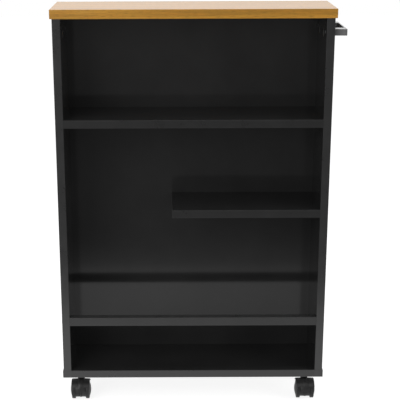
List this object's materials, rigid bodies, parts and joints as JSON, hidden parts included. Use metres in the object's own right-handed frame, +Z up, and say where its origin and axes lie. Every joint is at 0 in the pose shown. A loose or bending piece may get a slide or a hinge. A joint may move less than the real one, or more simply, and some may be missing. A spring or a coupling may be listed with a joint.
{
  "type": "storage trolley",
  "caption": "Slim open storage trolley of black faced board with a wood-look worktop, a long and a short shelf, a front rail, a side handle and hooded twin-wheel casters",
  "frame": {"origin": "on the floor, in the middle of the overall box of worktop and handle", "axes": "+Z up, the open front faces -Y, the handle is on the +X side"},
  "size_m": [0.5756, 0.152, 0.828],
  "materials": {
    "oak_laminate": "satin wood-look laminate on board",
    "black_board": "smooth black melamine on board",
    "black_band": "smooth black edge band",
    "black_cap": "smooth black plastic",
    "black_plastic": "moulded black nylon",
    "handle_paint": "satin dark grey paint",
    "zinc": "zinc-plated steel",
    "beech": "plain turned beech"
  },
  "bodies": {
    "cabinet": {"top_board": "oak_laminate", "worktop_edge_bands": "oak_laminate", "left_side_panel": "black_board", "right_side_panel": "black_board", "back_panel": "black_board", "bottom_board": "black_board", "upper_shelf": "black_board", "half_shelf": "black_board", "front_rail": "black_board", "cabinet_edge_bands": "black_band", "side_screws": "zinc", "back_screws": "zinc", "base_screws": "zinc", "screw_caps": "black_cap", "cam_bolts": "zinc", "cam_locks": "zinc", "worktop_dowels": "beech", "handle_post_front": "handle_paint", "handle_post_rear": "handle_paint", "handle_bar": "handle_paint", "handle_post_screws": "zinc", "handle_bar_screws": "zinc", "caster_screws": "zinc", "front_left_plate": "zinc", "front_left_kingpin": "zinc", "front_right_plate": "zinc", "front_right_kingpin": "zinc", "rear_left_plate": "zinc", "rear_left_kingpin": "zinc", "rear_right_plate": "zinc", "rear_right_kingpin": "zinc"},
    "front_left_swivel": {"front_left_hood": "black_plastic", "front_left_axle": "zinc"},
    "front_left_outer_roller": {"front_left_outer_wheel": "black_plastic"},
    "front_left_inner_roller": {"front_left_inner_wheel": "black_plastic"},
    "front_right_swivel": {"front_right_hood": "black_plastic", "front_right_axle": "zinc"},
    "front_right_outer_roller": {"front_right_outer_wheel": "black_plastic"},
    "front_right_inner_roller": {"front_right_inner_wheel": "black_plastic"},
    "rear_left_swivel": {"rear_left_hood": "black_plastic", "rear_left_axle": "zinc"},
    "rear_left_outer_roller": {"rear_left_outer_wheel": "black_plastic"},
    "rear_left_inner_roller": {"rear_left_inner_wheel": "black_plastic"},
    "rear_right_swivel": {"rear_right_hood": "black_plastic", "rear_right_axle": "zinc"},
    "rear_right_outer_roller": {"rear_right_outer_wheel": "black_plastic"},
    "rear_right_inner_roller": {"rear_right_inner_wheel": "black_plastic"}
  },
  "joints": [
    {"name": "front_left_swivel_turn", "type": "hinge", "parent": "cabinet", "child": "front_left_swivel", "pos_m": [-0.25025, -0.0395, 0.049], "axis": [0, 0, 1], "continuous": true},
    {"name": "front_left_outer_roll", "type": "hinge", "parent": "front_left_swivel", "child": "front_left_outer_roller", "pos_m": [-0.25025, -0.0535, 0.02], "axis": [1, 0, 0], "continuous": true},
    {"name": "front_left_inner_roll", "type": "hinge", "parent": "front_left_swivel", "child": "front_left_inner_roller", "pos_m": [-0.25025, -0.0535, 0.02], "axis": [1, 0, 0], "continuous": true},
    {"name": "front_right_swivel_turn", "type": "hinge", "parent": "cabinet", "child": "front_right_swivel", "pos_m": [0.22875, -0.0395, 0.049], "axis": [0, 0, 1], "continuous": true},
    {"name": "front_right_outer_roll", "type": "hinge", "parent": "front_right_swivel", "child": "front_right_outer_roller", "pos_m": [0.22875, -0.0535, 0.02], "axis": [1, 0, 0], "continuous": true},
    {"name": "front_right_inner_roll", "type": "hinge", "parent": "front_right_swivel", "child": "front_right_inner_roller", "pos_m": [0.22875, -0.0535, 0.02], "axis": [1, 0, 0], "continuous": true},
    {"name": "rear_left_swivel_turn", "type": "hinge", "parent": "cabinet", "child": "rear_left_swivel", "pos_m": [-0.25025, 0.0395, 0.049], "axis": [0, 0, 1], "continuous": true},
    {"name": "rear_left_outer_roll", "type": "hinge", "parent": "rear_left_swivel", "child": "rear_left_outer_roller", "pos_m": [-0.25025, 0.0535, 0.02], "axis": [1, 0, 0], "continuous": true},
    {"name": "rear_left_inner_roll", "type": "hinge", "parent": "rear_left_swivel", "child": "rear_left_inner_roller", "pos_m": [-0.25025, 0.0535, 0.02], "axis": [1, 0, 0], "continuous": true},
    {"name": "rear_right_swivel_turn", "type": "hinge", "parent": "cabinet", "child": "rear_right_swivel", "pos_m": [0.22875, 0.0395, 0.049], "axis": [0, 0, 1], "continuous": true},
    {"name": "rear_right_outer_roll", "type": "hinge", "parent": "rear_right_swivel", "child": "rear_right_outer_roller", "pos_m": [0.22875, 0.0535, 0.02], "axis": [1, 0, 0], "continuous": true},
    {"name": "rear_right_inner_roll", "type": "hinge", "parent": "rear_right_swivel", "child": "rear_right_inner_roller", "pos_m": [0.22875, 0.0535, 0.02], "axis": [1, 0, 0], "continuous": true}
  ]
}
